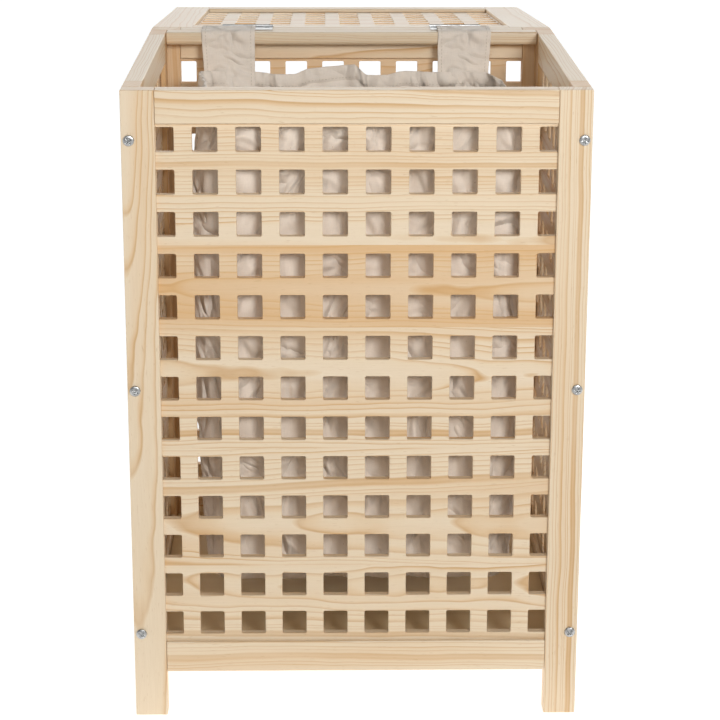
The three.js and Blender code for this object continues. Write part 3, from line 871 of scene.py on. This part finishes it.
def bag_wall(s, t):
    """A point s metres round the bag and a share t of the way from the rim to the bottom
    corner. It starts on the outline and moves in by a taper that grows as the square of t, by
    the bow of the side, greatest halfway down and midway between corners, and by the creases:
    slanting waves, half of them one less the size of a sine, which gives sharp backs. The sewn
    rim holds most of them in, and it hangs askew: its front has slid to the right, and both
    its ends are drawn in."""
    place, outwards = round_bag(s)
    off_middle = np.min(abs(place - bag_middle[:2]) / bag_half[:2], axis=-1)
    bow = BOW * (1 - off_middle ** 2) * np.sin(math.pi * np.clip(t, 0, 1)) ** 0.8
    turn = 2 * math.pi * s / BAG_ROUND
    turn = turn + 0.05 * np.sin(5 * turn + 11 * t) + 0.03 * np.sin(11 * turn - 23 * t)
    crease = 0
    for k, start, slant, size in WAVES:
        if k % 2:
            crease = crease + size * np.sin(k * turn + 2 * math.pi * (start + slant * t))
        else:
            crease = crease + size * (1 - abs(np.sin(k * turn / 2 + math.pi * (start + slant * t))))
    for k, down, start in CRUMPLES:
        folded = abs(np.sin(k * turn + math.pi * (start + down * t)))
        crease = crease + ((1 - folded) ** 2 - 0.4) * CRUMPLE / CREASE
    back = np.clip((place[..., 1] - bag_middle[1]) / bag_half[1], 0, 1)
    grip = 0.4 + 0.4 * back
    grip = grip + (1 - grip) * np.clip(t / 0.08, 0, 1)
    inwards = np.maximum(bow + (crease + 0.6) * CREASE * grip, 0) + TAPER * t ** 2
    height = rim_height(place)
    z = height + (base_lo[2] + BASE_CORNER - height) * t
    askew = np.exp(-t / 0.15)
    forward = (bag_middle[1] - place[..., 1]) / bag_half[1]
    slid = (6 + 14 * forward) * MM - (place[..., 0] - bag_middle[0]) * (0.049 + 0.013 * forward)
    place = place + np.stack([askew * slid, 0 * slid], axis=-1)
    return np.concatenate([place - outwards * inwards[..., None], z[..., None]], axis=-1), outwards


ROUND_STEPS, DOWN_STEPS, CORNER_STEPS, BASE_STEPS = 380, 98, 5, 12
s = np.linspace(0, BAG_ROUND, ROUND_STEPS, endpoint=False)[None, :]
t = np.linspace(0, 1, DOWN_STEPS)[:, None] ** 1.1
wall, outwards = bag_wall(*np.broadcast_arrays(s, t))
last, last_out = wall[-1], outwards[-1]
bend = np.linspace(0, math.pi / 2, CORNER_STEPS + 1)[1:, None]
corner_xy = last[None, :, :2] - last_out * (BASE_CORNER * (1 - np.cos(bend)))[..., None]
corner_z = base_lo[2] + BASE_CORNER * (1 - np.sin(bend)) + 0 * s
corner = np.concatenate([corner_xy, corner_z[..., None]], axis=-1)
share = np.linspace(1, 0, BASE_STEPS + 1)[1:, None, None]
wrinkle = np.sin(9 * 2 * math.pi * s / BAG_ROUND)[..., None] * share * (1 - share) * 8 * MM
base = corner[-1] * share + np.array([*bag_middle[:2], base_lo[2]]) * (1 - share)
base[..., 2:] += abs(wrinkle)
bag_points = np.concatenate([wall, corner, base])

cloth_s = np.broadcast_to(s, bag_points.shape[:2])
steps = np.linalg.norm(np.diff(bag_points, axis=0), axis=2)
cloth_t = np.concatenate([np.zeros((1, ROUND_STEPS)), np.cumsum(steps, axis=0)])


def cloth_grid(name, points, u, v, closed, nodes, thickness=CLOTH, seam=0.0):
    """A sheet from a grid of points, with its place on the flat cloth as the UV map named
    cloth, then given its thickness. A closed grid's columns join up, and there u goes on to
    seam instead of back to the start."""
    rows, columns = points.shape[:2]
    quads = np.array(strip_faces(rows, columns, closed))
    flat_u, flat_v = u.ravel()[quads], v.ravel()[quads]
    if closed:
        last = quads[:, :1] % columns == columns - 1
        flat_u = flat_u + last * np.array([0, 1, 1, 0]) * seam
    mesh = bpy.data.meshes.new(name)
    mesh.from_pydata(points.reshape(-1, 3), [], quads.tolist())
    layer = mesh.uv_layers.new(name="cloth")
    layer.data.foreach_set("uv", np.stack([flat_u, flat_v], axis=-1).ravel())
    merge_and_turn_out(mesh)
    mesh.materials.append(canvas)
    piece = bpy.data.objects.new(name, mesh)
    bpy.context.scene.collection.objects.link(piece)
    wall = piece.modifiers.new("cloth_thickness", "SOLIDIFY")
    wall.thickness = thickness
    wall.offset = 0
    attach(piece, "box")
    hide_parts(*nodes)
    return piece


bag = cloth_grid("canvas_bag", bag_points, cloth_s, cloth_t, True,
                 ["bag_base", "bag_front", "bag_back", "bag_left", "bag_right"],
                 seam=BAG_ROUND)

# The hem is turned down by 18 mm and sewn: a flat fold that hugs the rim inside and out.
HEM_LIFT = 0.8 * MM
HEM_CLOTH = 0.3 * MM
fold = np.array([(1.2, 18), (1.25, 8), (1.2, 1.0), (0.7, 0.2), (0, 0), (-0.7, 0.2),
                 (-1.2, 1.0), (-1.25, 8), (-1.2, 18), (-0.5, 18.2), (0.5, 18.2)]) * MM
s_hem = np.linspace(0, BAG_ROUND, ROUND_STEPS, endpoint=False)[:, None]
drop = fold[None, :, 1]


def at_depth(s, depth):
    """A point on the wall at a depth in metres below the rim."""
    place, _ = round_bag(s)
    tall = rim_height(place) - base_lo[2] - BASE_CORNER
    return bag_wall(s, depth / tall)


hem_points, hem_out = at_depth(*np.broadcast_arrays(s_hem, drop))
hem_points[..., :2] += hem_out * fold[None, :, 0, None]
hem_points[..., 2] += HEM_LIFT
hem = cloth_grid("bag_hem", np.concatenate([hem_points, hem_points[:1]]).swapaxes(0, 1)[:, :-1],
                 np.broadcast_to(s_hem.T, (len(fold), ROUND_STEPS)),
                 np.broadcast_to(fold[:, 1:], (len(fold), ROUND_STEPS)), True, [],
                 thickness=HEM_CLOTH, seam=BAG_ROUND)


# ---- Stitching -------------------------------------------------------------------------------
# Hems and straps are sewn with a lockstitch in natural cotton thread, 0.5 mm thick, with
# stitches 3.2 mm long.
STITCH, STITCH_GAP, THREAD = 3.2 * MM, 1.1 * MM, 0.35 * MM


def stitches(name, middles, ahead, outwards, slot="canvas"):
    """One thread piece: at each middle a stitch runs along ahead and stands out from the
    cloth. A stitch is five rings of five points: a ring's size is sqrt(1 - x^2) at x along."""
    x = np.array([-0.98, -0.6, 0, 0.6, 0.98])
    angle = np.linspace(0, 2 * math.pi, 5, endpoint=False)
    side = np.cross(ahead, outwards)
    girth = THREAD * np.sqrt(1 - x ** 2)[:, None]
    out = (girth * np.sin(angle) * 0.8)[None, ..., None] * outwards[:, None, None, :]
    along = (x * STITCH / 2)[None, :, None, None] * ahead[:, None, None, :]
    width = (girth * np.cos(angle))[None, ..., None] * side[:, None, None, :]
    points = middles[:, None, None, :] + along + out + width
    start = np.arange(len(middles))[:, None, None] * 25
    around = (start + np.array(strip_faces(5, 5))).reshape(-1, 4).tolist()
    ends = (start + np.array([[4, 3, 2, 1, 0], [20, 21, 22, 23, 24]])).reshape(-1, 5).tolist()
    return new_piece(name, points, around + ends, thread, "box")


def thread_material():
    """Natural cotton sewing thread: matt, a little darker than the canvas, with a twist that
    shows as fine light and dark bands."""
    material, tree, shader = new_material("natural_cotton_thread")
    place = add(tree, "TexCoord").outputs["Object"]
    twist = add(tree, "TexNoise", {"Vector": place, "Scale": 1500.0, "Detail": 1.0}).outputs[0]
    colour = add(tree, "MixRGB", {0: twist, 1: linear("BFB09B"), 2: linear("E4DACA")}).outputs[0]
    bump = add(tree, "Bump", {"Height": twist, "Distance": 0.1 * MM, "Strength": 0.4})
    feed(tree, shader, {"Base Color": colour, "Roughness": 0.9, "Normal": bump.outputs[0]})
    return material


thread = thread_material()
s_stitch = np.arange(0, BAG_ROUND - STITCH, STITCH + STITCH_GAP)
SEAM_DEPTH = 15 * MM
seam_at, seam_out = at_depth(s_stitch, np.full(len(s_stitch), SEAM_DEPTH))
seam_next, _ = at_depth(s_stitch + 1 * MM, np.full(len(s_stitch), SEAM_DEPTH))
seam_ahead = seam_next - seam_at
seam_ahead /= np.linalg.norm(seam_ahead, axis=1, keepdims=True)
seam_out = np.concatenate([seam_out, np.zeros((len(seam_out), 1))], axis=1)
seam_at[:, 2] += HEM_LIFT
hem_face = fold[:, 0].max() + HEM_CLOTH
both_faces = np.concatenate([seam_at + seam_out * hem_face, seam_at - seam_out * hem_face])
bag_thread = stitches("bag_hem_stitching", both_faces, np.tile(seam_ahead, (2, 1)),
                      np.concatenate([seam_out, -seam_out]))


# ---- Straps ----------------------------------------------------------------------------------
# Two wide straps of canvas are sewn inside the back of the bag, go up and over the hinge bar
# and lie flat on its top. Their long edges are stitched, with the stitches sunk in the cloth.
STRAP = 1.0 * MM
STRAP_BEND = 4 * MM
STRAP_SEAM = 5 * MM
STITCH_OUT = 0.45 * STRAP
for side, seed in (("left", 31), ("right", 32)):
    lo, hi = (np.array(v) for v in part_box(f"strap_{side}"))
    wide, middle = (hi - lo)[X], (lo + hi)[X] / 2
    over, face = hi[Z] - STRAP / 2, lo[Y] + STRAP / 2
    chance = np.random.default_rng(seed)
    waves = [(chance.uniform(-3, 3), chance.uniform(2, 9), chance.uniform(0, 6.3))
             for _ in range(7)]
    bend = np.linspace(0, math.pi / 2, 7)
    path = np.concatenate([
        [(hi[Y], over)],
        np.stack([face + STRAP_BEND * (1 - np.sin(bend)), over - STRAP_BEND * (1 - np.cos(bend))], 1),
        [(face, lo[Z])]])
    path_walked = np.concatenate([[0], np.cumsum(np.linalg.norm(np.diff(path, axis=0), axis=1))])
    strap_long = path_walked[-1]
    bent = path_walked[-2]

    def strap_at(u, v):
        """A point u across the strap, from -1 to 1, and v metres along it from its top end.
        Below the bar it creases by slanting waves, and one long edge draws in by 7 mm."""
        y = np.interp(v, path_walked, path[:, 0])
        z = np.interp(v, path_walked, path[:, 1])
        hang = np.clip((v - bent) / (60 * MM), 0, 1)
        crease = sum(0.7 * np.sin(a * u + b * v / 0.1 + c) for a, b, c in waves)
        crease = crease + 2.2 * (1 - abs(np.sin(1.6 * u + 31 * v + seed)))
        crease = crease + 1.8 * (1 - abs(np.sin(2.3 * u - 22 * v + 2 * seed)))
        draw = 0.11 * hang * (1 - u * (1 if side == "left" else -1)) / 2
        x = middle + wide / 2 * (u + draw * (1 if side == "left" else -1))
        y = y - np.maximum(0, 0.3 + 0.5 * crease) * 2.2 * MM * hang
        z = z + 0.05 * MM * np.minimum(0, crease) * (1 - hang)
        return np.stack([x + 0 * v, y, z], axis=-1)

    v = np.sort(np.concatenate([np.linspace(0, strap_long, 96), path_walked]))[:, None]
    u = np.linspace(-1, 1, 41)[None, :]
    u, v = np.broadcast_arrays(u, v)
    strap = cloth_grid(f"canvas_strap_{side}", strap_at(u, v), u * wide / 2, v, False,
                       [f"strap_{side}"], thickness=STRAP * 0.9)
    v_stitch = np.arange(3 * MM, strap_long - 3 * MM, STITCH + STITCH_GAP)
    parts = []
    for edge in (-1, 1):
        u_line = np.full(len(v_stitch), edge * (1 - STRAP_SEAM / (wide / 2)))
        here, after = strap_at(u_line, v_stitch), strap_at(u_line, v_stitch + 1 * MM)
        ahead = (after - here) / np.linalg.norm(after - here, axis=1, keepdims=True)
        normal = np.cross(ahead, np.array([1.0, 0, 0]))
        parts += [(here + normal * sign * STITCH_OUT, ahead, normal * sign)
                  for sign in (-1, 1)]
    seam = stitches(f"strap_{side}_stitching", *(np.concatenate(p) for p in zip(*parts)),
                    slot="strap_canvas")
